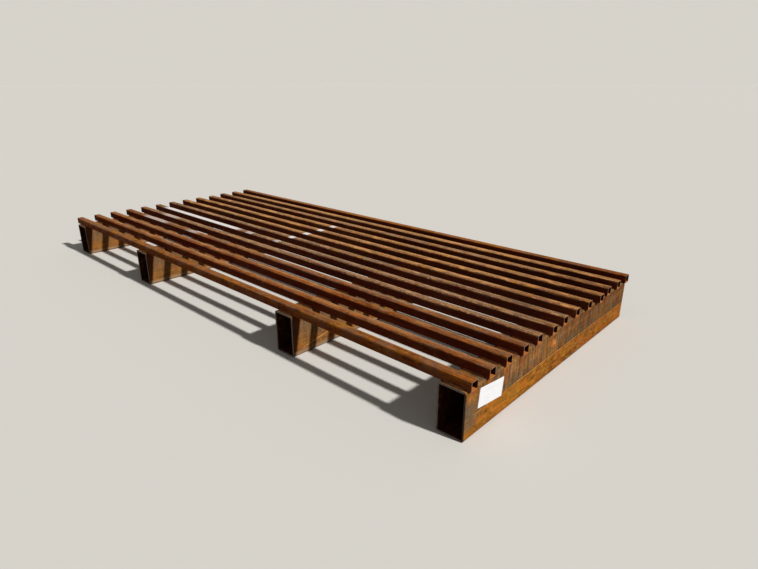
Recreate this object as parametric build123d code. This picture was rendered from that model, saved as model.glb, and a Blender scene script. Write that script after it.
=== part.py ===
"""Cattle grid: a welded steel deck of square tube rails lying across four box section beams.

Millimetres. +X runs along the rails, +Y across the rails from the front to the back, +Z up.
The origin lies under the middle of the overall box, on the plane that the beams rest on.
"""

from build123d import *
import os
from math import cos, radians, sin

# Rails: square hollow sections, sawn square and left open at both ends
RAIL_LENGTH = 4267.0
RAIL_SIZE = 50.8
RAIL_WALL = 3.175
RAIL_PITCH = 149.0

# How far each rail was laid towards +X before it was welded, from the front rail to the back one
RAIL_SHIFTS = (3.0, 0.0, -3.0, 2.0, -2.0, 6.0, -5.0, -4.0, 3.0, 12.0, -2.0, 0.0, -2.0)

# Cross beams: rectangular hollow sections standing on edge, open at both ends
BEAM_HEIGHT = 254.0
BEAM_WIDTH = 152.4
BEAM_WALL = 9.525

# Places of the beams under the rails
RIGHT_OVERHANG = 11.0  # rails past the outer side of the beam at the +X end
LEFT_OVERHANG = 40.0  # rails past the outer side of the beam at the -X end
MIDDLE_BAY = 1742.0  # between the centre lines of the two inner beams
FRONT_REACH = 16.0  # beams stand out in front of the front rail
BACK_OVERHANG = 26.0  # back rail stands out past the beams' back ends

# Outside corner radius of a cold-formed section, as a number of its wall thicknesses
CORNER_WALLS = 1.5

# Weld beads between the rails and the beams
WELD_LEG = 8.0  # foot of the bead on the beam
WELD_RISE = 3.2  # bead on the rail's flat side, above the rolled corner
WELD_CROWN = 1.2  # how far the bead bulges from straight
WELD_END_GAP = 3.0  # flat of the beam left bare beyond each end of a bead
ROOT_ANGLE = 58.0  # how far down the rail's rolled corner the weld reaches, from level

RAIL_CORNER = CORNER_WALLS * RAIL_WALL
BEAM_CORNER = CORNER_WALLS * BEAM_WALL
RAIL_COUNT = len(RAIL_SHIFTS)
DECK_WIDTH = (RAIL_COUNT - 1) * RAIL_PITCH + RAIL_SIZE
BEAM_LENGTH = DECK_WIDTH + FRONT_REACH - BACK_OVERHANG
BEAD_LENGTH = BEAM_WIDTH - 2 * BEAM_CORNER - 2 * WELD_END_GAP

# Middle of the uneven rail ends, and middle of the deck with the beams' front ends
MIDDLE_X = (max(RAIL_SHIFTS) + min(RAIL_SHIFTS)) / 2
MIDDLE_Y = -FRONT_REACH / 2

# Centre lines of the four beams along X
LEFT_END_X = -RAIL_LENGTH / 2 + LEFT_OVERHANG + BEAM_WIDTH / 2 - MIDDLE_X
RIGHT_END_X = RAIL_LENGTH / 2 - RIGHT_OVERHANG - BEAM_WIDTH / 2 - MIDDLE_X
BAYS_MIDDLE_X = (LEFT_END_X + RIGHT_END_X) / 2
BEAM_PLACES = {
    "left_end": LEFT_END_X,
    "left_inner": BAYS_MIDDLE_X - MIDDLE_BAY / 2,
    "right_inner": BAYS_MIDDLE_X + MIDDLE_BAY / 2,
    "right_end": RIGHT_END_X,
}


def rail_y(number):
    """Centre line of a rail across the deck, counted from the front."""
    return (number - (RAIL_COUNT - 1) / 2) * RAIL_PITCH - MIDDLE_Y


def hollow_section(plane, width, height, wall, length):
    """Cold-formed tube with rolled corners, centred on the plane and run both ways along its normal."""
    outside = RectangleRounded(width, height, CORNER_WALLS * wall)
    bore = RectangleRounded(width - 2 * wall, height - 2 * wall, (CORNER_WALLS - 1) * wall)
    return extrude(plane * (outside - bore), length / 2, both=True)


def rail(number):
    """One rail, resting on the beams."""
    tube = hollow_section(Plane.YZ, RAIL_SIZE, RAIL_SIZE, RAIL_WALL, RAIL_LENGTH)
    along = RAIL_SHIFTS[number] - MIDDLE_X
    return Pos(along, rail_y(number), BEAM_HEIGHT + RAIL_SIZE / 2) * tube


def cross_beam(place):
    """One beam on edge, from its reach in front of the rails to the back rail."""
    tube = hollow_section(Plane.XZ, BEAM_WIDTH, BEAM_HEIGHT, BEAM_WALL, BEAM_LENGTH)
    front_end = rail_y(0) - RAIL_SIZE / 2 - FRONT_REACH
    return Pos(place, front_end + BEAM_LENGTH / 2, BEAM_HEIGHT / 2) * tube


def weld_bead(side):
    """One bead in the groove under a rail's rolled corner, on its back (+1) or front (-1) side."""
    rail_face = RAIL_SIZE / 2
    corner_middle = rail_face - RAIL_CORNER

    def on_corner(angle):
        turn = radians(angle)
        return side * (corner_middle + RAIL_CORNER * cos(turn)), RAIL_CORNER * (1 - sin(turn))

    root = on_corner(ROOT_ANGLE)
    toe = (side * (rail_face + WELD_LEG), 0.0)
    top = (side * rail_face, RAIL_CORNER + WELD_RISE)
    chord = Vector(top[0] - toe[0], top[1] - toe[1])
    outward = Vector(side * abs(chord.Y), abs(chord.X)).normalized() * WELD_CROWN
    crown = ((toe[0] + top[0]) / 2 + outward.X, (toe[1] + top[1]) / 2 + outward.Y)
    outline = Curve() + [
        Line((root[0], 0.0), toe),
        ThreePointArc(toe, crown, top),
        Line(top, on_corner(0)),
        ThreePointArc(on_corner(0), on_corner(ROOT_ANGLE / 2), root),
        Line(root, (root[0], 0.0)),
    ]
    return extrude(Plane.YZ * make_face(outline), BEAD_LENGTH / 2, both=True)


def weld_row(place):
    """All the beads on one beam: both sides of each rail, but none behind the overhanging back rail."""
    front_bead = weld_bead(-1)
    back_bead = weld_bead(1)
    beads = []
    for number in range(RAIL_COUNT):
        seat = Pos(place, rail_y(number), BEAM_HEIGHT)
        beads.append(seat * front_bead)
        if number < RAIL_COUNT - 1:
            beads.append(seat * back_bead)
    return Compound(children=beads)


def save(name, shape):
    """Write one piece to its own file."""
    shape.label = name
    export_step(shape, f"parts/{name}.step")


def main():
    os.makedirs("parts", exist_ok=True)
    for number in range(RAIL_COUNT):
        save(f"rail_{number + 1:02d}", rail(number))
    for name, place in BEAM_PLACES.items():
        save(f"cross_beam_{name}", cross_beam(place))
        save(f"rail_welds_{name}", weld_row(place))


main()
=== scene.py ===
"""Dresses the cattle grid: rust on its rails and beams, rippled welds, a bare label, and a plain stage.

Everything is in metres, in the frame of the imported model: +X along the rails, +Y from the front rail
to the back one, +Z up, with the origin under the middle of the grid.
"""

import math
import random
from typing import NamedTuple

import bmesh
import bpy
from bpy.props import FloatProperty, FloatVectorProperty, IntProperty, PointerProperty
from mathutils import Matrix, Vector


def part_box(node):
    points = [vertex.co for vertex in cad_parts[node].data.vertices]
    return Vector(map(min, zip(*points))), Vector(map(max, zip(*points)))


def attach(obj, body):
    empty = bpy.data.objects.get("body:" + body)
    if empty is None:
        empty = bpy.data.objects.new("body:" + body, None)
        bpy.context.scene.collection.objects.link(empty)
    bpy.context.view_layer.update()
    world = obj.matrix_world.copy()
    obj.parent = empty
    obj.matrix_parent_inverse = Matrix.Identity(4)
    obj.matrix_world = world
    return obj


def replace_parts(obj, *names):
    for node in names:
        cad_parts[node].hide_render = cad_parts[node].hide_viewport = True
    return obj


bl_info = {
    "name": "Cattle Grid",
    "version": (1, 1, 0),
    "blender": (4, 5, 0),
    "location": "3D View > Sidebar > Cattle Grid",
    "description": "Finishes of a welded steel cattle grid, with its welds, its label and a plain stage",
    "category": "Object",
}

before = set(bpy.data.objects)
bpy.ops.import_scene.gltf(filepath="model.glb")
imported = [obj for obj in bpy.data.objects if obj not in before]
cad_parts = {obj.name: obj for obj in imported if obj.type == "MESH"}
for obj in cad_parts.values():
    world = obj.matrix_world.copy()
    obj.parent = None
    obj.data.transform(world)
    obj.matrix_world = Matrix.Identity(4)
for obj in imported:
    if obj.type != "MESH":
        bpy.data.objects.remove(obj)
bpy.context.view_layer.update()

MM = 0.001

# Sockets of the Mix node when it mixes colours
FACTOR, COLOUR_A, COLOUR_B, MIXED = 0, 6, 7, 2

RAILS = sorted(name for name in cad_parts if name.startswith("rail_") and "welds" not in name)
BEAMS = ("left_end", "left_inner", "right_inner", "right_end")


def middle(node):
    """Centre of a node's box."""
    low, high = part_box(node)
    return (low + high) / 2


RAIL_LOW, RAIL_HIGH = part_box(RAILS[0])
RAIL_TOP = RAIL_HIGH.z
RAIL_SIZE = RAIL_TOP - RAIL_LOW.z
RAIL_PITCH = middle(RAILS[1]).y - middle(RAILS[0]).y
BEAM_LOW, BEAM_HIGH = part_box("cross_beam_right_end")
BEAM_TOP = BEAM_HIGH.z
BEAM_WIDTH = BEAM_HIGH.x - BEAM_LOW.x

# Walls of the two sections, as the solids have them, to tell a bore from an outer face
RAIL_WALL = 3.175 * MM
BEAM_WALL = 9.525 * MM

# Depths, in walls, from which a face starts to count as a bore's and from which it fully does. A bore lies a
# whole wall deep, and the rolled outer corners come in to 0.44 walls.
BORE_DEPTH = (0.72, 0.86)

# How squarely a face looks along an axis, or up, as the range of a Map Range node
SQUARELY = {"From Min": 0.70, "From Max": 0.95}
UPWARDS = {"From Min": 0.3, "From Max": 0.8}

# Camera: where it stands from the origin, how far it turns from +Y towards -X, and how far it looks down
CAMERA_PLACE = (3.1987, -2.6488, 1.5030)
CAMERA_TURN = math.radians(42.56)
CAMERA_TILT = math.radians(20.72)
CAMERA_LENS = 25.99  # mm, on a sensor 36 mm wide
CAMERA_SENSOR = 36.0
CAMERA_REACH = 500.0  # far enough to see the floor meet the backdrop

# Way to the key light: high on the right, almost along the rails, a little from behind
KEY_WAY = Vector((0.773, 0.125, 0.625))

FLOOR_REACH = 150.0  # from the middle of the floor to its edges
FLOOR_BOUNCE = "94908a"  # a mid grey, for the light that the floor throws back on the steel

# The noise behind every pattern keeps mostly between 0.3 and 0.7, so that a share moves through that range
NOISE_HIGH = 0.70
NOISE_RANGE = 0.40
NOISE_STRAY = 0.25  # how far the smoother noise strays from its middle
SEED_STEPS = (1.0, 0.7, 1.3)  # a seed moves a pattern by another length along each axis

RUST_GLOSS = 0.04  # rust and mill scale are dull oxides, not bare metal


class Finish(NamedTuple):
    """Rust of a rail: three of the steel's colours, and how much of its surface has what."""

    ground: str  # old rust below all the rest
    newest: str
    palest: str  # where it was rubbed or bleached
    scale: float  # share with grey mill scale
    bloom: float  # share with spots of the newest rust
    dust: float  # share with dust on top
    reddened: float = 0.60  # how strongly thin red rust shows on the ground


FINISHES = {
    "red": Finish("red", "orange", "honey", 0.46, 0.22, 0.15),
    "brown": Finish("rust", "orange", "golden", 0.34, 0.34, 0.30),
    "yellow": Finish("rust", "orange", "honey", 0.28, 0.30, 0.40),
    "tan": Finish("rust", "orange", "dust", 0.44, 0.25, 0.40),
    "dusty": Finish("rust", "amber", "dust", 0.10, 0.30, 0.55),
    "rubbed": Finish("rubbed", "golden", "dust", 0.34, 0.18, 0.45),
    "golden": Finish("golden", "amber", "straw", 0.24, 0.30, 0.40, reddened=0.25),
}

# Finish of each rail, from the front one to the back one
RAIL_LOOKS = (
    "red", "brown", "brown", "tan", "rubbed", "rubbed", "rubbed",
    "golden", "golden", "golden", "dusty", "golden", "yellow",
)

# Rails, counted from the front one, that share a trait
DARK_FRONT_RAILS = range(2, 11)  # the front half of their tops is much darker
VIVID_RAILS = range(7, 11)  # their patches show strongest
DEEP_SHADE_RAILS = range(9, 13)  # the painted shade on their sides deepens towards +X

# Stretches of the rails that bloomed most: rail, from X to X, and how much of the top took it
BLOOM_PLACES = (
    (1, -0.55, 0.15, 0.35),
    (2, -0.75, -0.15, 0.35),
    (2, 0.25, 0.60, 0.55),
    (3, 0.25, 0.95, 0.85),
    (3, 1.30, 1.75, 0.70),
    (7, -1.90, -0.20, 0.60),
    (8, -1.00, -0.30, 0.60),
    (8, 0.32, 0.92, 0.95),
    (9, -1.90, -0.02, 0.65),
    (9, 0.60, 1.45, 0.85),
    (10, -0.95, -0.05, 0.85),
    (10, 0.30, 1.25, 0.70),
    (12, -1.80, -0.40, 0.60),
    (12, 0.55, 1.45, 0.95),
    (13, -0.95, 0.60, 0.85),
)
BLOOM_FADE = 0.07  # either side of a stretch's ends
BLOOM_COVER = 0.90  # where all of the top took it

# White paint on top of the rails: rail, from X to X, and how much of it is left
PAINT_PLACES = (
    (4, -1.76, -1.38, 0.45),
    (4, -1.00, -0.87, 0.40),
    (5, -1.70, -1.45, 0.40),
    (6, -1.95, -0.71, 0.95),
    (6, -0.59, -0.51, 0.50),
    (6, -0.215, -0.155, 0.45),
    (7, -0.215, -0.157, 1.00),
    (8, -0.212, -0.150, 1.00),
    (9, -0.207, -0.148, 1.00),
    (10, -0.210, -0.152, 0.95),
)
DASH_LENGTH = 0.10  # shorter marks are dashes with crisp ends
DASH_FADE = 6 * MM
STRIPE_FADE = 60 * MM

# What the rails' tops turn to near their ends: a colour, the X where it starts and the X where it is whole,
# the first of the back rails, and the amount of it on the rails before that one and from it on
TOP_ENDS = (
    ("dust", 0.50, -1.60, 8, 0.16, 0.34),
    ("red", 1.30, 1.90, 5, 0.42, 0.62),
    ("dark_red", -1.74, -1.96, 4, 0.00, 0.62),
)

# Tubes whose rolled seam lies on top, and how far it is from the tube's centre line. Then, across the top
# from the seam, its dark groove and the bright strip beside it: from where, to where and with how much blur.
SEAMS = {1: 9 * MM, 5: -6 * MM, 9: 4 * MM, 12: -10 * MM}
SEAM_GROOVE = (-1.5 * MM, 1.5 * MM, 0.8 * MM)
SEAM_STRIP = (2.5 * MM, 6.5 * MM, 1.2 * MM)

# Painted shade down the rails' sides, in shares of their height from the top: none down to the first, and
# whole from the second. On the front rail it starts lower.
SIDE_SHADE_REACH = (0.02, 0.20)
FRONT_SIDE_SHADE_REACH = (0.10, 0.50)
FULL_SIDE_SHADE = 0.88  # how strong the painted shade is on a side
FRONT_RAILS_SIDE_SHADE = {1: 0.50, 2: 0.80}  # on the two front rails
BACK_SIDE_SHADE_SHARE = 0.35  # of the painted shade that is left on the back of the back rail

# Daylight inside the rails' bores: how far it reaches from the ends, and how softly it ends
BORE_DAYLIGHT = 80 * MM
BORE_FADE = 50 * MM

# Places where a surface changes, as the range of a Map Range node: from where it starts to where it is whole.
# Along X, where the painted shade on the rails' sides deepens:
DEEP_SHADE_STRETCH = {"From Min": -0.50, "From Max": 1.60}
# Up the beams' sides. Only the beam at the +X end has a sharp wet edge.
SHARP_WET_EDGE = {"From Min": 0.118, "From Max": 0.112}
SOFT_WET_EDGE = {"From Min": 0.175, "From Max": 0.075}
DRY_PART = {"From Min": 0.100, "From Max": 0.130, "To Min": 0.35}  # about a third of the darkening towards the back reaches below it
# Painted shade on the beams' sides right under the rails
SHADE_UNDER_RAILS = {"From Min": 0.205, "From Max": 0.245}
DUSTY_FOOT = {"From Min": 0.036, "From Max": 0.020}
SPLASHED_FOOT = {"From Min": 45 * MM, "From Max": 6 * MM}
RUN_LEVELS = {"From Min": 0.50 * BEAM_TOP, "From Max": 0.95 * BEAM_TOP}
# Along Y, on the beams' sides, and for a run of rust from the centre line of its rail:
SUNNED_FRONT = {"From Min": -0.10, "From Max": -0.50}
DARKER_BACK = {"From Min": -0.45, "From Max": 0.35}
RUN_WIDTH = {"From Min": 32 * MM, "From Max": 12 * MM}

# Painted shadow of the front rail on the beams' sides, which reaches further back higher up: its edge by the
# floor, and how far that edge shifts for each metre up
FRONT_RAIL_SHADOW = {"From Min": BEAM_LOW.y + 0.030, "From Max": BEAM_LOW.y + 0.014}
FRONT_RAIL_SHADOW_LEAN = 0.16

# Bands along the beams' sides: from one level to another, and how softly they end
WHOLE_SCALE = (0.100, 0.185, 30 * MM)
BRIGHT_BAND = (0.060, 0.082, 9 * MM)
TIDE_LINE = (0.1150, 0.1190, 0.8 * MM)
TIDE_SHADE = (0.1200, 0.1250, 1.2 * MM)

# Marks on single beams: along Y and up, each from where to where and with how much blur. The scratch climbs
# towards the back, and its levels are those that it would have at Y = 0.
SPLASH_ALONG, SPLASH_UP = (-0.125, -0.075, 14 * MM), (0.165, 0.205, 12 * MM)
BARE_ALONG, BARE_UP = (-0.96, -0.84, 35 * MM), (0.05, 0.19, 25 * MM)
SCRATCH_ALONG, SCRATCH_UP = (-0.86, -0.64, 20 * MM), (0.209, 0.214, 1.5 * MM)
SCRATCH_CLIMB = 0.20
# Along X, from the inner to the outer part of the rim at the +X end that is painted dark as shade
PAINTED_SHADE_RIM = (BEAM_HIGH.x - 14 * MM, BEAM_HIGH.x + 20 * MM, 3 * MM)

# Shape of a weld bead, with lengths as shares of its width
BEAD_SEGMENTS = 8  # round its section
BEAD_THICKNESS = 0.52
BEAD_TIPS = 0.25  # width left at its two ends
BEAD_BLUNTNESS = 14  # power of the curve that narrows them: the higher, the blunter
RIPPLE_BOW = 0.4  # how strongly a ripple bends, with its sides towards +X
# Swells from an unsteady hand: how much, how many radians along the bead, and how many times the random angle
# that each bead has at its middle
HAND_SWAYS = ((0.06, 17, 1), (0.04, 41, 2))

# Places of the beads and their spatter
BEAD_SEAT = 2.3 * MM  # from the corner of the groove to the bead's middle, out and up
BEAD_SHORTFALL_MM = 6  # how much shorter a bead may be than its place
BEAD_STRAY_MM = 1  # how far it may lie to either side
DROP_SIZES_MM = (0.8, 1.8)
DROP_HEIGHT = 0.6  # of a drop's width, because it froze as it spread
DROP_RISE = 0.25  # of its radius, from the beam to its middle
DROP_NEAR, DROP_FAR = 9 * MM, 24 * MM  # from the corner of the groove
EDGE_MARGIN = 3 * MM  # between the drops and the end of the beam

LABEL_CORNER = 4 * MM
LABEL_FILM = 0.2 * MM
LABEL_GAP = 0.05 * MM  # of glue between the steel and the film


def srgb(hex_colour):
    """A colour written as RRGGBB, as the linear values that Blender's sockets take."""
    channels = [int(hex_colour[i:i + 2], 16) / 255 for i in (0, 2, 4)]
    return [c / 12.92 if c <= 0.04045 else ((c + 0.055) / 1.055) ** 2.4 for c in channels]


def colour_setting(name, description, hex_colour):
    """A colour that a user can change in the panel."""
    return FloatVectorProperty(
        name=name, description=description, default=srgb(hex_colour),
        size=3, min=0.0, max=1.0, subtype="COLOR",
    )


def length_setting(name, description, value):
    """A length that a user can change in the panel."""
    return FloatProperty(name=name, description=description, default=value, min=0.0, unit="LENGTH")


class SteelSettings(bpy.types.PropertyGroup):
    """Colours of the weathered steel."""

    rust: colour_setting("Brown rust", "Old, tight rust that covers most of the steel", "9a6640")
    red: colour_setting("Red rust", "Thin, dark red-brown rust", "824e2d")
    rubbed: colour_setting("Rubbed rust", "Rust that wheels and hooves rubbed to a grey brown", "957158")
    golden: colour_setting("Golden rust", "Old rust that the sun dried to a yellowish brown", "daa672")
    honey: colour_setting("Honey rust", "Crusts of yellow rust", "b97b22")
    orange: colour_setting("Orange rust", "Newer, looser bloom", "c16b22")
    amber: colour_setting("Amber rust", "Newer bloom over golden rust", "e2a060")
    ochre: colour_setting("Ochre rust", "Wet, golden bloom low on the beams", "a5640e")
    scale: colour_setting("Mill scale", "Grey skin left from the rolling mill", "6b5a46")
    olive: colour_setting("Olive scale", "Mill scale on the beams, yellowed by rust", "6a5a3a")
    straw: colour_setting("Straw rust", "Golden rust where the sun bleached it", "e8b57a")
    dust: colour_setting("Dust", "Road dust on upward faces", "c2a380")
    # This dark is also laid as painted shade: deeper down the back rails' sides towards +X, in the front
    # rail's shadow on the beams, and on the beams right under the rails
    dark: colour_setting("Dark rust", "Damp, dark rust in pits and on shaded sides", "2c1206")
    plum: colour_setting("Plum rust", "Old rust with a purple cast", "86564a")
    # This dark red is the painted shade down the rails' sides and the painted shadow of the front rail on the
    # beams; it also darkens the front half of the rails' tops and their ends at -X
    dark_red: colour_setting("Damp rust", "Red rust on the sheltered sides of the rails", "601c08")
    # The bore colour is painted sunlight on the floor of the rails' open ends, and in the rails' bores the
    # hollow colour is painted shade on their walls and further in
    bore: colour_setting("Bore", "Dry, bright rust on the floor of the rails' open ends", "d07a34")
    hollow: colour_setting("Hollow", "Dark rust inside the tubes", "34160b")
    cut: colour_setting("Cut ends", "Sawn rims of the tubes", "8c8278")


class PaintSettings(bpy.types.PropertyGroup):
    """White paint left on some of the rails."""

    paint: colour_setting("Paint", "Worn white paint on the tops of some rails", "efe8e2")


class WeldSettings(bpy.types.PropertyGroup):
    """The beads that join the rails to the beams."""

    size: length_setting("Size", "Width of a bead across its face", 13.0 * MM)
    ripple: length_setting("Ripple", "From one ripple of the weld pool to the next", 5.0 * MM)
    relief: length_setting("Relief", "Height of a ripple", 0.6 * MM)
    spatter: IntProperty(name="Spatter", description="Drops of weld metal beside each bead", default=7, min=0)


class LabelSettings(bpy.types.PropertyGroup):
    """The bare white label on the outer side of the beam at the +X end."""

    film: colour_setting("Film", "White label film", "e8e9ea")
    width: length_setting("Width", "Length of the label", 0.205)
    height: length_setting("Height", "Height of the label", 0.100)
    along: length_setting("Along", "From the beam's front end to the label's centre", 0.208)
    up: length_setting("Up", "From the floor to the label's centre", 0.1675)
    tilt: FloatProperty(
        name="Tilt", description="How far its back end dips", default=math.radians(7.5), subtype="ANGLE",
    )


class StageSettings(bpy.types.PropertyGroup):
    """Floor and light."""

    floor: colour_setting("Floor", "Plain pale floor", "dcd8d0")
    key: FloatProperty(name="Key light", description="Strength of the key light", default=3.95, min=0.0)
    softness: FloatProperty(
        name="Softness", description="Angle that the key light fills", default=math.radians(3.0),
        subtype="ANGLE",
    )
    fill: FloatProperty(
        name="Fill light", description="Strength of the light all round", default=0.16, min=0.0,
    )


def add(tree, kind, inputs=None, **settings):
    """Add one node: its settings by name, and a value or a link for each of its inputs."""
    node = tree.nodes.new(kind)
    for name, value in settings.items():
        setattr(node, name, value)
    for key, value in (inputs or {}).items():
        if isinstance(value, bpy.types.NodeSocket):
            tree.links.new(value, node.inputs[key])
        else:
            node.inputs[key].default_value = value
    return node


def new_material(name):
    """An empty material with the tree to fill."""
    material = bpy.data.materials.new(name)
    material.use_nodes = True
    material.node_tree.nodes.clear()
    return material, material.node_tree


class Skin(NamedTuple):
    """What the masks on a material's surface are worked out from."""

    tree: bpy.types.NodeTree
    place: bpy.types.NodeSocket  # where a point is, in metres
    at: bpy.types.bpy_prop_collection  # its X, Y and Z
    across: list  # masks of the faces that lie across X, Y and Z
    up: bpy.types.NodeSocket  # mask of the faces that look up
    seed: float  # sets its patterns apart from those of like pieces


def skin_of(tree, seed):
    """Start a material's surface with its places and its masks of which way a face looks."""
    place = add(tree, "ShaderNodeTexCoord").outputs["Object"]
    at = add(tree, "ShaderNodeSeparateXYZ", {0: place}).outputs
    normal = add(tree, "ShaderNodeNewGeometry").outputs["True Normal"]
    unsigned = add(tree, "ShaderNodeVectorMath", {0: normal}, operation="ABSOLUTE").outputs[0]
    across = [
        add(tree, "ShaderNodeMapRange", {"Value": part, **SQUARELY}).outputs[0]
        for part in add(tree, "ShaderNodeSeparateXYZ", {0: unsigned}).outputs
    ]
    height = add(tree, "ShaderNodeSeparateXYZ", {0: normal}).outputs[2]
    up = add(tree, "ShaderNodeMapRange", {"Value": height, **UPWARDS}).outputs[0]
    return Skin(tree, place, at, across, up, seed)


def patches(skin, size_mm, share, soft, detail, rough, seed):
    """Mask of irregular patches, drawn by a noise with a detail, a roughness and a seed.

    They are size_mm long along X, Y and Z, cover a share of the surface, and have more or less soft edges.
    """
    seed = skin.seed + seed
    scaled = add(skin.tree, "ShaderNodeMapping", {
        "Vector": skin.place,
        "Location": [seed * step for step in SEED_STEPS],
        "Scale": [1 / (s * MM) for s in size_mm],
    })
    noise = add(skin.tree, "ShaderNodeTexNoise", {
        "Vector": scaled.outputs[0], "Scale": 1.0, "Detail": detail, "Roughness": rough,
    })
    edge = NOISE_HIGH - NOISE_RANGE * share
    return add(skin.tree, "ShaderNodeMapRange", {
        "Value": noise.outputs["Fac"], "From Min": edge - soft, "From Max": edge + soft,
    }, interpolation_type="SMOOTHSTEP").outputs[0]


def wander(skin, value, size_mm, reach_mm, seed):
    """A coordinate that strays by up to about reach_mm, so that edges that follow it are ragged."""
    seed = skin.seed + seed
    scaled = add(skin.tree, "ShaderNodeMapping", {
        "Vector": skin.place, "Location": (seed, seed, seed), "Scale": [1 / (s * MM) for s in size_mm],
    })
    noise = add(skin.tree, "ShaderNodeTexNoise", {"Vector": scaled.outputs[0], "Scale": 1.0, "Detail": 3.0})
    centred = add(skin.tree, "ShaderNodeMath", {0: noise.outputs["Fac"], 1: 0.5}, operation="SUBTRACT")
    return add(skin.tree, "ShaderNodeMath", {
        0: centred.outputs[0], 1: reach_mm * MM / NOISE_STRAY, 2: value,
    }, operation="MULTIPLY_ADD").outputs[0]


def stretch(skin, value, start, end, blur):
    """Mask of the stretch of an axis from start to end, whose two ends fade over a length each side."""
    rise = add(skin.tree, "ShaderNodeMapRange", {
        "Value": value, "From Min": start - blur, "From Max": start + blur,
    }, interpolation_type="SMOOTHSTEP")
    fall = add(skin.tree, "ShaderNodeMapRange", {
        "Value": value, "From Min": end - blur, "From Max": end + blur, "To Min": 1.0, "To Max": 0.0,
    }, interpolation_type="SMOOTHSTEP")
    both = {0: rise.outputs[0], 1: fall.outputs[0]}
    return add(skin.tree, "ShaderNodeMath", both, operation="MULTIPLY").outputs[0]


def bore_mask(skin, axes, centre, half_sizes, wall):
    """Mask of the inner walls of a tube whose section lies across the two axes."""
    depths = []
    for axis, half in zip(axes, half_sizes):
        offset = add(skin.tree, "ShaderNodeMath", {0: skin.at[axis], 1: centre[axis]}, operation="SUBTRACT")
        away = add(skin.tree, "ShaderNodeMath", {0: offset.outputs[0]}, operation="ABSOLUTE")
        below = add(skin.tree, "ShaderNodeMath", {0: half, 1: away.outputs[0]}, operation="SUBTRACT")
        depths.append(below.outputs[0])
    depth = add(skin.tree, "ShaderNodeMath", {0: depths[0], 1: depths[1]}, operation="MINIMUM").outputs[0]
    starts, whole = BORE_DEPTH
    return add(skin.tree, "ShaderNodeMapRange", {
        "Value": depth, "From Min": starts * wall, "From Max": whole * wall,
    }).outputs[0]


def coat(tree, under, over, amount, *masks):
    """Lay a colour over what is there, by an amount, as far as all the masks let it."""
    for mask in masks:
        amount = add(tree, "ShaderNodeMath", {0: mask, 1: amount}, operation="MULTIPLY").outputs[0]
    values = {FACTOR: amount}
    for key, colour in ((COLOUR_A, under), (COLOUR_B, over)):
        values[key] = colour if isinstance(colour, bpy.types.NodeSocket) else (*colour, 1.0)
    return add(tree, "ShaderNodeMix", values, data_type="RGBA").outputs[MIXED]


def finish_surface(tree, colour, rough, layers, specular):
    """Put the colour, the roughness and the relief on a surface that isn't bare metal.

    Each layer of the relief is a mask and its height in mm, which is below zero for a hollow.
    """
    height = 0.0
    for mask, height_mm in layers:
        height = add(tree, "ShaderNodeMath", {
            0: mask, 1: height_mm * MM, 2: height,
        }, operation="MULTIPLY_ADD").outputs[0]
    bump = add(tree, "ShaderNodeBump", {"Height": height, "Distance": 1.0, "Strength": 1.0})
    shader = add(tree, "ShaderNodeBsdfPrincipled", {
        "Base Color": colour, "Roughness": rough, "Metallic": 0.0, "Specular IOR Level": specular,
        "Normal": bump.outputs[0],
    })
    add(tree, "ShaderNodeOutputMaterial", {"Surface": shader.outputs[0]})


def tube_tones(skin, number, steel, finish):
    """Broad tones along a tube: thin red rust, stretches of bloom, dust, stains and spots rubbed pale."""
    tree = skin.tree
    thin = patches(skin, (220, 50, 50), share=0.45, soft=0.14, detail=5.0, rough=0.6, seed=0)
    colour = coat(tree, getattr(steel, finish.ground), steel.red, finish.reddened, thin)
    duller = patches(skin, (520, 80, 80), share=0.50, soft=0.10, detail=2.0, rough=0.5, seed=130)
    colour = coat(tree, colour, steel.red, 0.40, duller)

    along = wander(skin, skin.at[0], (90, 20, 20), reach_mm=60, seed=30)
    bloomed = patches(skin, (240, 18, 18), share=0.80, soft=0.16, detail=5.0, rough=0.6, seed=40)
    for rail, start, end, much in BLOOM_PLACES:
        if rail == number:
            there = stretch(skin, along, start, end, BLOOM_FADE)
            colour = coat(tree, colour, getattr(steel, finish.newest), BLOOM_COVER * much, bloomed, there)

    dust = patches(skin, (130, 30, 30), share=finish.dust, soft=0.14, detail=6.0, rough=0.65, seed=60)
    colour = coat(tree, colour, steel.dust, 0.45, dust, skin.up)
    # Stains where dirt lay and pale spots where it was rubbed away, from a hand's length down to a finger's
    stains = patches(skin, (200, 60, 60), share=0.42, soft=0.06, detail=5.0, rough=0.60, seed=110)
    colour = coat(tree, colour, steel.dark, 0.38, stains)
    cleared = patches(skin, (120, 50, 50), share=0.42, soft=0.06, detail=5.0, rough=0.62, seed=120)
    return coat(tree, colour, getattr(steel, finish.palest), 0.68, cleared)


def tube_top(skin, colour, number, steel, finish):
    """Top of a tube: darker along its front half, paler along its back half, and what its ends turn to."""
    centre_line = middle(RAILS[number - 1]).y
    level_across = wander(skin, skin.at[1], (120, 30, 30), reach_mm=8, seed=125)
    front_darkening = 0.78 if number in DARK_FRONT_RAILS else 0.22
    # Each half with its colour, its amount, and how far from the centre line it starts and is whole
    halves = (
        (steel.dark_red, front_darkening, 4 * MM, -20 * MM),
        (getattr(steel, finish.palest), 0.70, 2 * MM, 18 * MM),
    )
    for rust, amount, starts, whole in halves:
        half = add(skin.tree, "ShaderNodeMapRange", {
            "Value": level_across, "From Min": centre_line + starts, "From Max": centre_line + whole,
        }).outputs[0]
        colour = coat(skin.tree, colour, rust, amount, half, skin.up)

    for rust, starts, whole, back_rail, front_amount, back_amount in TOP_ENDS:
        end = add(skin.tree, "ShaderNodeMapRange", {
            "Value": skin.at[0], "From Min": starts, "From Max": whole,
        }).outputs[0]
        amount = back_amount if number >= back_rail else front_amount
        colour = coat(skin.tree, colour, getattr(steel, rust), amount, end, skin.up)
    return colour


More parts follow.
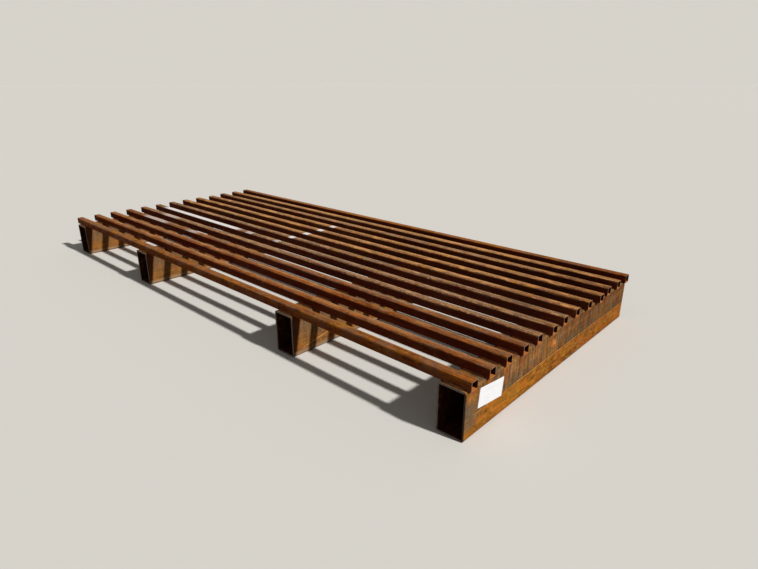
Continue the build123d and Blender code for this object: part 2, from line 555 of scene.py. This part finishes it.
def tube_lines(skin, colour, number, steel, newest, lines):
    """Lines from rolling and handling, drawn twice as wide as real ones so that they show, and the seam."""
    tree = skin.tree
    bands = patches(skin, (900, 8, 8), share=0.42, soft=0.08, detail=3.0, rough=0.5, seed=65)
    colour = coat(tree, colour, steel.dark, 0.45, bands)
    colour = coat(tree, colour, steel.dark, 0.35, lines)
    bright_lines = patches(skin, (600, 4.0, 4.0), share=0.30, soft=0.08, detail=3.0, rough=0.5, seed=75)
    colour = coat(tree, colour, newest, 0.80, bright_lines)
    if number in SEAMS:
        from_seam = add(tree, "ShaderNodeMath", {
            0: skin.at[1], 1: middle(RAILS[number - 1]).y + SEAMS[number],
        }, operation="SUBTRACT").outputs[0]
        colour = coat(tree, colour, steel.dark, 0.50, stretch(skin, from_seam, *SEAM_GROOVE), skin.up)
        colour = coat(tree, colour, newest, 0.7, stretch(skin, from_seam, *SEAM_STRIP), skin.up)
    return colour


def tube_patches(skin, colour, number, steel, newest, finish, scale):
    """Patches a finger to a hand long: grey scale, and new, yellow and purplish rust."""
    vivid = 1.0 if number in VIVID_RAILS else 0.55
    colour = coat(skin.tree, colour, steel.scale, 0.60 * vivid, scale)
    spots = patches(skin, (110, 55, 55), share=finish.bloom, soft=0.04, detail=5.0, rough=0.58, seed=20)
    colour = coat(skin.tree, colour, newest, 0.62 * vivid, spots)
    yellowed = patches(skin, (80, 60, 60), share=0.22, soft=0.04, detail=4.0, rough=0.55, seed=25)
    colour = coat(skin.tree, colour, steel.honey, 0.55 * vivid, yellowed)
    tarnished = patches(skin, (95, 60, 60), share=0.22, soft=0.04, detail=4.0, rough=0.55, seed=28)
    return coat(skin.tree, colour, steel.plum, 0.55 * vivid, tarnished)


def tube_sides(skin, colour, number, steel):
    """Sides of a tube: painted shade in a dark red, from a little below their upper edge down."""
    tree = skin.tree
    shade_start, dark = FRONT_SIDE_SHADE_REACH if number == 1 else SIDE_SHADE_REACH
    side_shade = add(tree, "ShaderNodeMapRange", {
        "Value": wander(skin, skin.at[2], (160, 40, 40), reach_mm=6, seed=95),
        "From Min": RAIL_TOP - shade_start * RAIL_SIZE, "From Max": RAIL_TOP - dark * RAIL_SIZE,
    }).outputs[0]
    if number == len(RAILS):
        # Less painted shade on the back of the back rail
        centre_line = middle(RAILS[-1]).y
        front_side = add(tree, "ShaderNodeMapRange", {
            "Value": skin.at[1], "From Min": centre_line + 5 * MM, "From Max": centre_line - 5 * MM,
            "To Min": BACK_SIDE_SHADE_SHARE,
        }).outputs[0]
        side_shade = add(tree, "ShaderNodeMath", {0: side_shade, 1: front_side}, operation="MULTIPLY").outputs[0]
    side = skin.across[1]
    # Painted shade: the sides are laid in a dark red, lighter on the two front rails
    colour = coat(tree, colour, steel.dark_red, FRONT_RAILS_SIDE_SHADE.get(number, FULL_SIDE_SHADE), side, side_shade)
    # Deeper painted shade towards +X on the sides of the back rails
    if number in DEEP_SHADE_RAILS:
        deeper_shade = add(tree, "ShaderNodeMapRange", {"Value": skin.at[0], **DEEP_SHADE_STRETCH}).outputs[0]
        colour = coat(tree, colour, steel.dark, 0.45, side, side_shade, deeper_shade)
    return colour


def tube_paint(skin, colour, number, paint):
    """White paint on top of a tube, worn through in flecks."""
    worn = patches(skin, (70, 9, 9), share=0.80, soft=0.10, detail=6.0, rough=0.75, seed=100)
    along = wander(skin, skin.at[0], (25, 12, 12), reach_mm=8, seed=105)
    for rail, start, end, left in PAINT_PLACES:
        if rail == number:
            fade = DASH_FADE if end - start < DASH_LENGTH else STRIPE_FADE
            mark = stretch(skin, along, start, end, fade)
            colour = coat(skin.tree, colour, paint.paint, left, worn, mark, skin.up)
    return colour


def tube_ends(skin, colour, number, steel, crumbs):
    """Open ends of a tube: painted sunlight on its bore's floor near the ends, painted shade elsewhere
    inside, and sawn rims.
    """
    tree = skin.tree
    node = RAILS[number - 1]
    low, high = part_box(node)
    bore = bore_mask(skin, (1, 2), middle(node), (RAIL_SIZE / 2, RAIL_SIZE / 2), RAIL_WALL)
    painted_shade_inside = stretch(skin, skin.at[0], low.x + BORE_DAYLIGHT, high.x - BORE_DAYLIGHT, BORE_FADE)
    # Painted light on the bore's floor, which faces up, and painted shade on its walls; further in, all of it
    # is painted shade
    inner = coat(tree, steel.hollow, steel.bore, 1.0, skin.up)
    inner = coat(tree, inner, steel.dark, 0.35, crumbs)
    colour = coat(tree, colour, coat(tree, inner, steel.hollow, 1.0, painted_shade_inside), 1.0, bore)
    sawn = coat(tree, steel.rust, steel.cut, 0.6, crumbs)
    return coat(tree, colour, sawn, 0.85, skin.across[0])


def rusted_tube(number, steel, paint):
    """Cold-formed square tube, rusted outside for some years.

    It gives the eye a grain along the tube: brown rust over what is left of the grey mill scale, orange
    where it is newest, rubbed and dusty on top, painted shade down the sides, and painted light in its bores.
    """
    look = RAIL_LOOKS[number - 1]
    finish = FINISHES[look]
    newest = getattr(steel, finish.newest)
    material, tree = new_material(f"{look}_rusted_tube_{number:02d}")
    skin = skin_of(tree, seed=3.7 * number)
    lines = patches(skin, (700, 2.4, 2.4), share=0.42, soft=0.10, detail=3.0, rough=0.5, seed=70)
    scale = patches(skin, (130, 55, 55), share=finish.scale, soft=0.04, detail=5.0, rough=0.58, seed=10)

    colour = tube_tones(skin, number, steel, finish)
    colour = tube_top(skin, colour, number, steel, finish)
    colour = tube_lines(skin, colour, number, steel, newest, lines)

    # Crumbs of rust, and pits, both a little coarser than real ones so that they show
    crumbs = patches(skin, (15, 8, 8), share=0.45, soft=0.12, detail=6.0, rough=0.75, seed=80)
    colour = coat(tree, colour, steel.dark, 0.32, crumbs)
    flecks = patches(skin, (26, 8, 8), share=0.30, soft=0.06, detail=5.0, rough=0.7, seed=85)
    colour = coat(tree, colour, newest, 0.70, flecks)
    pits = patches(skin, (7, 4.5, 4.5), share=0.27, soft=0.06, detail=3.0, rough=0.6, seed=90)
    colour = coat(tree, colour, steel.dark, 0.45, pits)

    colour = tube_patches(skin, colour, number, steel, newest, finish, scale)
    colour = tube_sides(skin, colour, number, steel)
    colour = tube_paint(skin, colour, number, paint)
    colour = tube_ends(skin, colour, number, steel, crumbs)

    # The scale is smoother than the rust around it, and stands a little proud
    rough = add(tree, "ShaderNodeMapRange", {"Value": scale, "To Min": 0.90, "To Max": 0.60}).outputs[0]
    relief = ((pits, -0.30), (crumbs, 0.15), (lines, -0.08), (scale, 0.10))
    finish_surface(tree, colour, rough, relief, RUST_GLOSS)
    return material


def dry_rust(skin, steel, level, scale, halfway, newest):
    """Dry part of a beam: red-brown rust, and grey scale that is most whole halfway up."""
    tree = skin.tree
    thin = patches(skin, (50, 160, 60), share=0.55, soft=0.14, detail=5.0, rough=0.65, seed=5)
    colour = coat(tree, steel.rust, steel.red, 0.7, thin)
    colour = coat(tree, colour, steel.olive, 0.75, scale)
    colour = coat(tree, colour, steel.olive, 0.75, halfway, stretch(skin, level, *WHOLE_SCALE))
    stains = patches(skin, (60, 70, 90), share=0.42, soft=0.06, detail=5.0, rough=0.60, seed=80)
    colour = coat(tree, colour, steel.dark, 0.36, stains)
    cleared = patches(skin, (50, 60, 70), share=0.42, soft=0.06, detail=5.0, rough=0.60, seed=85)
    colour = coat(tree, colour, steel.honey, 0.50, cleared)
    return coat(tree, colour, steel.orange, 0.50, newest)


def rain_streaks(skin, colour, steel):
    """Fine streaks that rain drew down the webs of a beam."""
    web = skin.across[0]
    streaks = patches(skin, (20, 10, 180), share=0.45, soft=0.07, detail=4.0, rough=0.6, seed=15)
    colour = coat(skin.tree, colour, steel.dark, 0.36, streaks, web)
    pale_streaks = patches(skin, (20, 12, 240), share=0.34, soft=0.07, detail=4.0, rough=0.6, seed=18)
    return coat(skin.tree, colour, steel.golden, 0.42, pale_streaks, web)


def wet_rust(skin, steel, level, crusts):
    """Golden rust of the band that stood in the wet, with yellow crusts and sodden patches."""
    tree = skin.tree
    golden = patches(skin, (30, 150, 22), share=0.60, soft=0.14, detail=6.0, rough=0.65, seed=30)
    colour = coat(tree, steel.orange, steel.ochre, 0.9, golden)
    sunned = add(tree, "ShaderNodeMapRange", {"Value": skin.at[1], **SUNNED_FRONT}).outputs[0]
    colour = coat(tree, colour, steel.honey, 0.55, sunned)
    colour = coat(tree, colour, steel.honey, 0.50, stretch(skin, level, *BRIGHT_BAND))
    soft_zones = patches(skin, (200, 300, 90), share=0.45, soft=0.08, detail=2.0, rough=0.5, seed=88)
    colour = coat(tree, colour, steel.dark, 0.34, soft_zones)
    sodden = patches(skin, (50, 90, 24), share=0.42, soft=0.08, detail=5.0, rough=0.60, seed=90)
    colour = coat(tree, colour, steel.dark, 0.42, sodden)
    colour = coat(tree, colour, steel.honey, 0.90, crusts)
    renewed = patches(skin, (50, 110, 36), share=0.40, soft=0.07, detail=5.0, rough=0.60, seed=98)
    return coat(tree, colour, steel.orange, 0.75, renewed)


def tide_line(skin, colour, steel, level):
    """Pale line that the wet left in places along its edge, with a dark one above it."""
    web = skin.across[0]
    kept = patches(skin, (60, 260, 60), share=0.75, soft=0.10, detail=2.0, rough=0.5, seed=40)
    colour = coat(skin.tree, colour, steel.amber, 0.85, stretch(skin, level, *TIDE_LINE), kept, web)
    return coat(skin.tree, colour, steel.dark, 0.55, stretch(skin, level, *TIDE_SHADE), kept, web)


def rust_runs(skin, colour, steel):
    """Runs of new rust below each rail, by how far a point is from the nearest rail's centre line."""
    tree = skin.tree
    from_front = add(tree, "ShaderNodeMath", {0: skin.at[1], 1: middle(RAILS[0]).y}, operation="SUBTRACT")
    from_rail = add(tree, "ShaderNodeMath", {
        0: from_front.outputs[0], 1: RAIL_PITCH / 2,
    }, operation="PINGPONG").outputs[0]
    strayed = wander(skin, from_rail, (60, 30, 120), reach_mm=9, seed=45)
    below_rail = add(tree, "ShaderNodeMapRange", {"Value": strayed, **RUN_WIDTH}).outputs[0]
    reach = wander(skin, skin.at[2], (60, 22, 300), reach_mm=28, seed=50)
    fresh = add(tree, "ShaderNodeMapRange", {"Value": reach, **RUN_LEVELS}).outputs[0]
    runs = patches(skin, (30, 8, 140), share=0.62, soft=0.12, detail=4.0, rough=0.6, seed=55)
    return coat(tree, colour, steel.orange, 0.60, runs, below_rail, fresh, skin.across[0])


def web_darkening_and_shade(skin, colour, steel, ragged):
    """Darkening on the webs of a beam: darker towards the back, and painted shade right under the rails."""
    tree, web = skin.tree, skin.across[0]
    back = add(tree, "ShaderNodeMapRange", {"Value": skin.at[1], **DARKER_BACK}).outputs[0]
    dry = add(tree, "ShaderNodeMapRange", {"Value": ragged, **DRY_PART}).outputs[0]
    colour = coat(tree, colour, steel.dark, 0.45, back, dry, web)
    # Painted shade right under the rails
    painted_shade_under_rails = add(tree, "ShaderNodeMapRange", {"Value": skin.at[2], **SHADE_UNDER_RAILS}).outputs[0]
    return coat(tree, colour, steel.dark, 0.32, painted_shade_under_rails, web)


def splash_and_bare_patch(skin, colour, steel, crusts):
    """A splash of new rust halfway along the beam at the +X end, and a bare grey patch by its front end."""
    tree, web = skin.tree, skin.across[0]
    splash = stretch(skin, wander(skin, skin.at[1], (15, 15, 15), reach_mm=9, seed=-70), *SPLASH_ALONG)
    high = stretch(skin, wander(skin, skin.at[2], (15, 15, 15), reach_mm=9, seed=-67), *SPLASH_UP)
    colour = coat(tree, colour, steel.orange, 0.95, splash, high, web)
    colour = coat(tree, colour, steel.amber, 0.85, splash, high, crusts, web)
    bare = stretch(skin, wander(skin, skin.at[1], (30, 30, 30), reach_mm=12, seed=-64), *BARE_ALONG)
    return coat(tree, colour, steel.scale, 0.75, bare, stretch(skin, skin.at[2], *BARE_UP), web)


def scratch(skin, colour, steel):
    """A bright scratch that climbs towards the back."""
    climb = add(skin.tree, "ShaderNodeMath", {
        0: skin.at[1], 1: -SCRATCH_CLIMB, 2: skin.at[2],
    }, operation="MULTIPLY_ADD").outputs[0]
    line = stretch(skin, climb, *SCRATCH_UP)
    reached = stretch(skin, skin.at[1], *SCRATCH_ALONG)
    return coat(skin.tree, colour, steel.amber, 0.9, line, reached, skin.across[0])


def front_rail_shadow_and_dusty_foot(skin, colour, steel):
    """Painted shadow of the front rail on the webs, narrower towards the floor, and dust low on the webs."""
    tree, web = skin.tree, skin.across[0]
    leaning = add(tree, "ShaderNodeMath", {
        0: skin.at[2], 1: -FRONT_RAIL_SHADOW_LEAN, 2: skin.at[1],
    }, operation="MULTIPLY_ADD").outputs[0]
    painted_shadow = add(tree, "ShaderNodeMapRange", {"Value": leaning, **FRONT_RAIL_SHADOW}).outputs[0]
    # Painted shadow of the front rail, in dark red and dark rust
    colour = coat(tree, colour, steel.dark_red, 0.50, painted_shadow, web)
    colour = coat(tree, colour, steel.dark, 0.35, painted_shadow, web)
    dusty_foot = add(tree, "ShaderNodeMapRange", {"Value": skin.at[2], **DUSTY_FOOT}).outputs[0]
    return coat(tree, colour, steel.dust, 0.50, dusty_foot, web)


def beam_ends(skin, colour, name, steel, newest, crumbs):
    """Open ends of a beam: dark rust in its bore, and sawn rims."""
    tree = skin.tree
    centre = middle(f"cross_beam_{name}")
    bore = bore_mask(skin, (0, 2), centre, (BEAM_WIDTH / 2, BEAM_TOP / 2), BEAM_WALL)
    inner = coat(tree, steel.hollow, steel.red, 0.5, newest)
    colour = coat(tree, colour, inner, 1.0, bore)
    sawn = coat(tree, steel.cut, steel.scale, 0.5, crumbs)
    if name == "right_end":
        # Painted shade on the rim of the outer wall
        sawn = coat(tree, sawn, steel.dark, 0.75, stretch(skin, skin.at[0], *PAINTED_SHADE_RIM))
    return coat(tree, colour, sawn, 0.9, skin.across[1])


def rusted_beam(name, steel):
    """Box section on edge, rusted outside for some years.

    It gives the eye flat grey scale above and golden rust below, where it stood in the wet, runs of orange
    down from each rail, pits, and thin bright rims where it was sawn. The beam at the +X end, which the
    weather reaches, has its wet band up to a sharp tide line, and on the others the two blend.
    """
    outermost = name == "right_end"
    material, tree = new_material(f"rusted_box_section_{name}")
    skin = skin_of(tree, seed=40.0 + 11.0 * BEAMS.index(name))
    web = skin.across[0]
    level = wander(skin, skin.at[2], (400, 420, 400), reach_mm=5, seed=20)
    ragged = wander(skin, level, (30, 40, 30), reach_mm=1.2, seed=25)
    scale = patches(skin, (60, 140, 90), share=0.55, soft=0.14, detail=5.0, rough=0.65, seed=0)
    halfway = patches(skin, (60, 110, 70), share=0.66, soft=0.16, detail=5.0, rough=0.65, seed=3)
    newest = patches(skin, (25, 45, 32), share=0.30, soft=0.08, detail=6.0, rough=0.7, seed=10)
    crusts = patches(skin, (40, 50, 20), share=0.40, soft=0.06, detail=5.0, rough=0.60, seed=95)

    colour = dry_rust(skin, steel, level, scale, halfway, newest)
    colour = rain_streaks(skin, colour, steel)
    if not outermost:
        colour = coat(tree, colour, steel.scale, 0.62, web)

    wet_edge, wetness = (SHARP_WET_EDGE, 0.92) if outermost else (SOFT_WET_EDGE, 0.55)
    wet = add(tree, "ShaderNodeMapRange", {"Value": ragged, **wet_edge}).outputs[0]
    soaked = patches(skin, (40, 130, 40), share=0.92, soft=0.16, detail=6.0, rough=0.7, seed=35)
    low_rust = wet_rust(skin, steel, level, crusts)
    colour = coat(tree, colour, low_rust, wetness, wet, soaked)
    if outermost:
        colour = tide_line(skin, colour, steel, level)

    colour = rust_runs(skin, colour, steel)
    colour = coat(tree, colour, steel.scale, 0.45, halfway, skin.up)
    colour = web_darkening_and_shade(skin, colour, steel, ragged)
    if outermost:
        colour = splash_and_bare_patch(skin, colour, steel, crusts)
    if name == "right_inner":
        colour = scratch(skin, colour, steel)

    # Rolled lines, crumbs of rust, and pits, a little coarser than real ones so that they show
    lines = patches(skin, (3.0, 600, 3.0), share=0.42, soft=0.10, detail=3.0, rough=0.5, seed=60)
    colour = coat(tree, colour, steel.dark, 0.25, lines)
    crumbs = patches(skin, (9, 16, 9), share=0.45, soft=0.12, detail=6.0, rough=0.75, seed=65)
    colour = coat(tree, colour, steel.dark, 0.25, crumbs)
    pits = patches(skin, (5, 7, 5), share=0.28, soft=0.06, detail=3.0, rough=0.6, seed=70)
    colour = coat(tree, colour, steel.dark, 0.45, pits)

    if not outermost:
        colour = front_rail_shadow_and_dusty_foot(skin, colour, steel)
    splashed = patches(skin, (30, 30, 12), share=0.8, soft=0.2, detail=5.0, rough=0.7, seed=75)
    foot = add(tree, "ShaderNodeMapRange", {"Value": skin.at[2], **SPLASHED_FOOT}).outputs[0]
    colour = coat(tree, colour, steel.dark, 0.42, foot, splashed)
    colour = beam_ends(skin, colour, name, steel, newest, crumbs)

    rough = add(tree, "ShaderNodeMapRange", {"Value": scale, "To Min": 0.90, "To Max": 0.58}).outputs[0]
    relief = ((pits, -0.35), (crumbs, 0.15), (lines, -0.06), (scale, 0.10))
    finish_surface(tree, colour, rough, relief, RUST_GLOSS)
    return material


def rusted_weld_metal(steel):
    """Weld metal as it froze, rusted.

    It gives the eye dark patches and grains on ripples that still shine a little, and orange where water lay.
    """
    material, tree = new_material("rusted_weld_metal")
    skin = skin_of(tree, seed=0.0)
    bloom = patches(skin, (18, 7, 7), share=0.50, soft=0.10, detail=5.0, rough=0.7, seed=3)
    colour = coat(tree, steel.red, steel.orange, 0.8, bloom)
    burnt = patches(skin, (60, 60, 60), share=0.45, soft=0.12, detail=4.0, rough=0.6, seed=7)
    colour = coat(tree, colour, steel.dark, 0.6, burnt)
    grains = patches(skin, (3, 3, 3), share=0.4, soft=0.1, detail=3.0, rough=0.7, seed=11)
    colour = coat(tree, colour, steel.dark, 0.3, grains)
    finish_surface(tree, colour, 0.72, ((grains, -0.12),), specular=0.45)
    return material


def white_film(label, steel):
    """Vinyl film of a printed label, left bare.

    It gives the eye a satin white, with a little road dust and a few soft creases.
    """
    material, tree = new_material("white_vinyl_film")
    skin = skin_of(tree, seed=0.0)
    smudge = patches(skin, (20, 40, 25), share=0.35, soft=0.15, detail=5.0, rough=0.6, seed=9)
    colour = coat(tree, label.film, steel.dust, 0.14, smudge)
    specks = patches(skin, (4, 4, 4), share=0.18, soft=0.05, detail=3.0, rough=0.6, seed=13)
    colour = coat(tree, colour, steel.rust, 0.25, specks)
    creases = patches(skin, (20, 30, 8), share=0.4, soft=0.2, detail=2.0, rough=0.5, seed=4)
    finish_surface(tree, colour, 0.38, ((creases, 0.25),), specular=0.5)
    return material


def dress(node, material):
    """Give a CAD node its finished material."""
    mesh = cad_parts[node].data
    mesh.materials.clear()
    mesh.materials.append(material)


def make_piece(name, mesh, material):
    """Turn a finished bmesh into a piece that rides on the grid."""
    piece = bpy.data.objects.new(name, bpy.data.meshes.new(name))
    mesh.to_mesh(piece.data)
    mesh.free()
    piece.data.materials.append(material)
    bpy.context.scene.collection.objects.link(piece)
    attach(piece, "root")
    return piece


def lay_bead(weld, length, seat, side, chance):
    """One bead in the groove beside a rail: a bar whose skin follows the frozen ripples of the weld pool."""
    rings = 2 * round(length / weld.ripple)
    bead = bmesh.new()
    bmesh.ops.create_cone(
        bead, cap_ends=True, segments=BEAD_SEGMENTS, depth=length,
        radius1=weld.size / 2, radius2=weld.size / 2,
    )
    long_edges = [edge for edge in bead.edges if edge.calc_length() > length / 2]
    bmesh.ops.subdivide_edges(bead, edges=long_edges, cuts=rings - 1, use_grid_fill=True)

    wave = chance.uniform(0, math.tau)
    for vertex in bead.verts:
        along = vertex.co.z / length
        ring = round((along + 0.5) * rings)
        # Every second ring is a trough
        swell = 1.0 - (2 * weld.relief / weld.size if ring % 2 else 0.0)
        sway = 1.0
        for share, waves, turn in HAND_SWAYS:
            sway += share * math.sin(waves * along + turn * wave)
        swell *= sway
        roundness = max(1.0 - abs(2 * along) ** BEAD_BLUNTNESS, 0.0) ** 0.5
        swell *= roundness * (1 - BEAD_TIPS) + BEAD_TIPS
        vertex.co.x *= swell
        vertex.co.y *= swell * BEAD_THICKNESS
        vertex.co.z += RIPPLE_BOW * weld.size * (vertex.co.x / weld.size) ** 2

    lie_down = Matrix.Rotation(math.radians(90), 4, "Y")
    # Its broad face leans from the beam up to the rail, 45 degrees from level
    lean = Matrix.Rotation(math.radians(side * 45), 4, "X")
    place = Matrix.Translation(seat + Vector((0, side * BEAD_SEAT, BEAD_SEAT)))
    bmesh.ops.transform(bead, matrix=place @ lean @ lie_down, verts=bead.verts)
    return bead


def drop_spatter(mesh, weld, length, seat, side, chance):
    """Drops of weld metal that froze on the beam beside a bead."""
    # The beam ends close to the front rail, and the drops stay on it
    room = (seat.y - BEAM_LOW.y if side < 0 else BEAM_HIGH.y - seat.y) - EDGE_MARGIN
    for _ in range(weld.spatter):
        size = chance.uniform(*DROP_SIZES_MM) * MM
        drop = bmesh.ops.create_icosphere(mesh, subdivisions=1, radius=size)["verts"]
        bmesh.ops.scale(mesh, vec=(1.0, 1.0, DROP_HEIGHT), verts=drop)
        along = chance.uniform(-0.5, 0.5) * length
        aside = side * chance.uniform(DROP_NEAR, min(DROP_FAR, room))
        bmesh.ops.translate(mesh, vec=seat + Vector((along, aside, DROP_RISE * size)), verts=drop)


def gather(mesh, part):
    """Move a finished bmesh into a larger one. Beads are made one by one because that is much quicker."""
    loose = bpy.data.meshes.new("loose")
    part.to_mesh(loose)
    part.free()
    mesh.from_mesh(loose)
    bpy.data.meshes.remove(loose)


class CATTLEGRID_OT_rails(bpy.types.Operator):
    """Finish the rails."""

    bl_idname = "cattlegrid.rails"
    bl_label = "Rails"

    def execute(self, context):
        scene = context.scene
        for number, node in enumerate(RAILS, start=1):
            dress(node, rusted_tube(number, scene.cattle_steel, scene.cattle_paint))
        return {"FINISHED"}


class CATTLEGRID_OT_beams(bpy.types.Operator):
    """Finish the cross beams."""

    bl_idname = "cattlegrid.beams"
    bl_label = "Cross beams"

    def execute(self, context):
        for name in BEAMS:
            dress(f"cross_beam_{name}", rusted_beam(name, context.scene.cattle_steel))
        return {"FINISHED"}


class CATTLEGRID_OT_welds(bpy.types.Operator):
    """Lay the rippled beads along both sides of the rails, in place of the smooth ones."""

    bl_idname = "cattlegrid.welds"
    bl_label = "Welds"

    def execute(self, context):
        weld = context.scene.cattle_weld
        material = rusted_weld_metal(context.scene.cattle_steel)
        for name in BEAMS:
            node = f"rail_welds_{name}"
            low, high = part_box(node)
            length = high.x - low.x
            chance = random.Random(name)
            mesh = bmesh.new()
            for rail in RAILS:
                for side in (-1, 1):
                    edge = middle(rail).y + side * RAIL_SIZE / 2
                    # The back rail has no bead behind it, so that edge lies outside the row
                    if low.y < edge < high.y:
                        run = length - chance.uniform(0, BEAD_SHORTFALL_MM) * MM
                        stray = chance.uniform(-BEAD_STRAY_MM, BEAD_STRAY_MM) * MM
                        seat = Vector((middle(node).x + stray, edge, BEAM_TOP))
                        bead = lay_bead(weld, run, seat, side, chance)
                        drop_spatter(bead, weld, run, seat, side, chance)
                        gather(mesh, bead)
            bmesh.ops.recalc_face_normals(mesh, faces=mesh.faces)
            for face in mesh.faces:
                face.smooth = True
            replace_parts(make_piece(f"weld_beads_{name}", mesh, material), node)
        return {"FINISHED"}


class CATTLEGRID_OT_label(bpy.types.Operator):
    """Stick the bare label on the outer side of the beam at the +X end."""

    bl_idname = "cattlegrid.label"
    bl_label = "Label"

    def execute(self, context):
        label = context.scene.cattle_label
        mesh = bmesh.new()
        bmesh.ops.create_grid(mesh, x_segments=1, y_segments=1, size=0.5)
        bmesh.ops.scale(mesh, vec=(label.width, label.height, 1.0), verts=mesh.verts)
        bmesh.ops.bevel(
            mesh, geom=mesh.verts, offset=LABEL_CORNER, affect="VERTICES",
            segments=4, profile=0.5, material=-1,
        )
        stand_up = Matrix.Rotation(math.radians(90), 4, "Z") @ Matrix.Rotation(math.radians(90), 4, "X")
        askew = Matrix.Rotation(-label.tilt, 4, "X")
        centre = Vector((BEAM_HIGH.x + LABEL_GAP, BEAM_LOW.y + label.along, label.up))
        bmesh.ops.transform(mesh, matrix=Matrix.Translation(centre) @ askew @ stand_up, verts=mesh.verts)
        film = make_piece("label", mesh, white_film(label, context.scene.cattle_steel))
        thickness = film.modifiers.new("film", "SOLIDIFY")
        thickness.thickness = LABEL_FILM
        thickness.offset = 1.0
        return {"FINISHED"}


def seen_rays(tree):
    """1 for the rays that show a thing, straight or through gloss and glass, and 0 for those of its light."""
    rays = add(tree, "ShaderNodeLightPath").outputs
    seen = rays["Is Camera Ray"]
    for kind in ("Is Glossy Ray", "Is Transmission Ray"):
        seen = add(tree, "ShaderNodeMath", {0: seen, 1: rays[kind]}, operation="MAXIMUM").outputs[0]
    return seen


def matt_floor(settings):
    """Matt floor paint: pale to the eye, and a mid grey for the light that it throws back on the steel."""
    material, tree = new_material("matt_floor_paint")
    colour = coat(tree, srgb(FLOOR_BOUNCE), settings.floor, seen_rays(tree))
    shader = add(tree, "ShaderNodeBsdfPrincipled", {
        "Base Color": colour, "Roughness": 0.9, "Specular IOR Level": 0.1,
    })
    add(tree, "ShaderNodeOutputMaterial", {"Surface": shader.outputs[0]})
    return material


def studio(settings):
    """Even light all round, and a backdrop of the lit floor's colour, so that the two meet without a seam."""
    lit = settings.key * KEY_WAY.normalized().z / math.pi + settings.fill
    world = bpy.data.worlds.new("studio")
    world.use_nodes = True
    tree = world.node_tree
    tree.nodes.clear()
    light = add(tree, "ShaderNodeBackground", {"Color": (1.0, 1.0, 1.0, 1.0), "Strength": settings.fill})
    backdrop = add(tree, "ShaderNodeBackground", {"Color": (*settings.floor, 1.0), "Strength": lit})
    both = add(tree, "ShaderNodeMixShader", {
        0: seen_rays(tree), 1: light.outputs[0], 2: backdrop.outputs[0],
    })
    add(tree, "ShaderNodeOutputWorld", {"Surface": both.outputs[0]})
    return world


class CATTLEGRID_OT_stage(bpy.types.Operator):
    """Lay the floor, set the lights and stand the camera."""

    bl_idname = "cattlegrid.stage"
    bl_label = "Stage"

    def execute(self, context):
        scene = context.scene
        settings = scene.cattle_stage
        scene.view_settings.view_transform = "Standard"

        floor_mesh = bmesh.new()
        bmesh.ops.create_grid(floor_mesh, x_segments=1, y_segments=1, size=FLOOR_REACH)
        floor = bpy.data.objects.new("floor", bpy.data.meshes.new("floor"))
        floor_mesh.to_mesh(floor.data)
        floor_mesh.free()
        scene.collection.objects.link(floor)
        floor.data.materials.append(matt_floor(settings))

        scene.world = studio(settings)
        key = bpy.data.lights.new("key", "SUN")
        key.energy = settings.key
        key.angle = settings.softness
        key_object = bpy.data.objects.new("key", key)
        key_object.rotation_euler = KEY_WAY.to_track_quat("Z", "Y").to_euler()
        scene.collection.objects.link(key_object)

        camera = bpy.data.cameras.new("camera")
        camera.lens = CAMERA_LENS
        camera.sensor_width = CAMERA_SENSOR
        camera.clip_end = CAMERA_REACH
        camera_object = bpy.data.objects.new("camera", camera)
        camera_object.location = CAMERA_PLACE
        camera_object.rotation_euler = (math.pi / 2 - CAMERA_TILT, 0.0, CAMERA_TURN)
        scene.collection.objects.link(camera_object)
        scene.camera = camera_object
        return {"FINISHED"}


SETTINGS = {
    "cattle_steel": SteelSettings,
    "cattle_paint": PaintSettings,
    "cattle_weld": WeldSettings,
    "cattle_label": LabelSettings,
    "cattle_stage": StageSettings,
}
OPERATORS = (
    CATTLEGRID_OT_stage,
    CATTLEGRID_OT_rails,
    CATTLEGRID_OT_beams,
    CATTLEGRID_OT_welds,
    CATTLEGRID_OT_label,
)


class CATTLEGRID_PT_panel(bpy.types.Panel):
    """Sizes, colours and steps of the cattle grid."""

    bl_idname = "CATTLEGRID_PT_panel"
    bl_label = "Cattle Grid"
    bl_space_type = "VIEW_3D"
    bl_region_type = "UI"
    bl_category = "Cattle Grid"

    def draw(self, context):
        for settings in SETTINGS:
            group = getattr(context.scene, settings)
            box = self.layout.box()
            for name in group.__annotations__:
                box.prop(group, name)
        for operator in OPERATORS:
            self.layout.operator(operator.bl_idname)


def register():
    """Make the settings, the operators and the panel known to Blender."""
    for name, group in SETTINGS.items():
        bpy.utils.register_class(group)
        setattr(bpy.types.Scene, name, PointerProperty(type=group))
    for cls in (*OPERATORS, CATTLEGRID_PT_panel):
        bpy.utils.register_class(cls)


def unregister():
    """Take them back in the opposite order."""
    for cls in (CATTLEGRID_PT_panel, *reversed(OPERATORS)):
        bpy.utils.unregister_class(cls)
    for name, group in reversed(SETTINGS.items()):
        delattr(bpy.types.Scene, name)
        bpy.utils.unregister_class(group)


def main():
    """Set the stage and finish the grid."""
    register()
    bpy.ops.cattlegrid.stage()
    bpy.ops.cattlegrid.rails()
    bpy.ops.cattlegrid.beams()
    bpy.ops.cattlegrid.welds()
    bpy.ops.cattlegrid.label()


if __name__ == "__main__":
    main()
